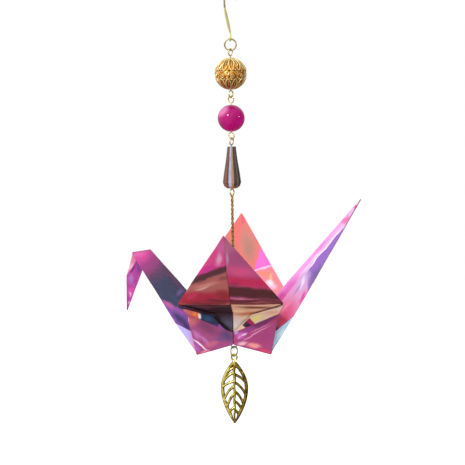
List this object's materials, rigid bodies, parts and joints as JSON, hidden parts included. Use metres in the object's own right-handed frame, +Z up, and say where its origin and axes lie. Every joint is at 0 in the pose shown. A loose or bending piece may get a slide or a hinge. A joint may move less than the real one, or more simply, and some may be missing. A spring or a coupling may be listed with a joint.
{
  "type": "hanging paper crane ornament",
  "caption": "Folded paper crane strung on a fine chain below an ear wire hook, a filigree ball, a polished bead and a glass drop, with an openwork leaf charm under it.",
  "frame": {"origin": "the point under the top of the hook's arch that the whole string hangs from", "axes": "+Z up along the string, -X towards the crane's head, +X towards its tail, -Y towards the viewer in the picture, with the wings spread along Y"},
  "size_m": [0.0912, 0.1146, 0.1709],
  "materials": {
    "hook_brass": "bright pale gold plate, polished",
    "ring_brass": "worn grey gold plate",
    "pin_brass": "gold plate, satin",
    "filigree_brass": "gold plate with darkened recesses",
    "agate": "opaque magenta, high polish",
    "smoky_glass": "smoky grey brown, polished facets",
    "chain_brass": "fine gold plate",
    "printed_paper": "smooth printed folding paper in magenta, violet, salmon and slate fields",
    "antique_brass": "antique olive gold with bright worn edges"
  },
  "bodies": {
    "hook": {"ear_hook": "hook_brass"},
    "hook_ring": {"hook_ring": "ring_brass"},
    "filigree_pin": {"filigree_pin": "pin_brass"},
    "filigree_ball": {"filigree_ball": "filigree_brass"},
    "agate_pin": {"agate_pin": "pin_brass"},
    "agate_bead": {"agate_bead": "agate"},
    "drop_pin": {"drop_pin": "pin_brass"},
    "drop_bead": {"drop_bead": "smoky_glass"},
    "upper_chain": {"upper_chain": "chain_brass"},
    "lower_chain": {"lower_chain": "chain_brass"},
    "crane": {"paper_crane": "printed_paper"},
    "lower_ring": {"lower_ring": "ring_brass"},
    "leaf_ring": {"leaf_ring": "ring_brass"},
    "leaf": {"leaf_charm": "antique_brass"}
  },
  "joints": [
    {"name": "hook_ring_swing", "type": "hinge", "parent": "hook", "child": "hook_ring", "pos_m": [0, 0, -0.02195], "axis": [0, 1, 0], "range_deg": [-25, 25]},
    {"name": "filigree_pin_swing", "type": "hinge", "parent": "hook_ring", "child": "filigree_pin", "pos_m": [0, 0, -0.02567], "axis": [1, 0, 0], "range_deg": [-25, 25]},
    {"name": "filigree_ball_spin", "type": "hinge", "parent": "filigree_pin", "child": "filigree_ball", "pos_m": [0, 0, -0.03469], "axis": [0, 0, 1], "continuous": true},
    {"name": "agate_pin_swing", "type": "hinge", "parent": "filigree_pin", "child": "agate_pin", "pos_m": [0, 0, -0.04387], "axis": [0.5299, 0.848, 0], "range_deg": [-25, 25]},
    {"name": "agate_bead_spin", "type": "hinge", "parent": "agate_pin", "child": "agate_bead", "pos_m": [0, 0, -0.05189], "axis": [0, 0, 1], "continuous": true},
    {"name": "drop_pin_swing", "type": "hinge", "parent": "agate_pin", "child": "drop_pin", "pos_m": [0, 0, -0.06002], "axis": [0.809, -0.5878, 0], "range_deg": [-25, 25]},
    {"name": "drop_bead_spin", "type": "hinge", "parent": "drop_pin", "child": "drop_bead", "pos_m": [0, 0, -0.07089], "axis": [0, 0, 1], "continuous": true},
    {"name": "upper_chain_swing", "type": "hinge", "parent": "drop_pin", "child": "upper_chain", "pos_m": [0, 0, -0.08187], "axis": [0.5, 0.866, 0], "range_deg": [-25, 25]},
    {"name": "lower_chain_swing", "type": "hinge", "parent": "upper_chain", "child": "lower_chain", "pos_m": [0, 0, -0.11047], "axis": [1, 0, 0], "range_deg": [-20, 20]},
    {"name": "crane_spin", "type": "hinge", "parent": "lower_chain", "child": "crane", "pos_m": [0, 0, -0.13932], "axis": [0, 0, 1], "continuous": true},
    {"name": "lower_ring_swing", "type": "hinge", "parent": "lower_chain", "child": "lower_ring", "pos_m": [0, 0, -0.13831], "axis": [0.6428, 0.766, 0], "range_deg": [-25, 25]},
    {"name": "leaf_ring_swing", "type": "hinge", "parent": "lower_ring", "child": "leaf_ring", "pos_m": [0, 0, -0.14089], "axis": [0.766, -0.6428, 0], "range_deg": [-25, 25]},
    {"name": "leaf_swing", "type": "hinge", "parent": "leaf_ring", "child": "leaf", "pos_m": [0, 0, -0.14401], "axis": [0.6428, 0.766, 0], "range_deg": [-25, 25]}
  ]
}
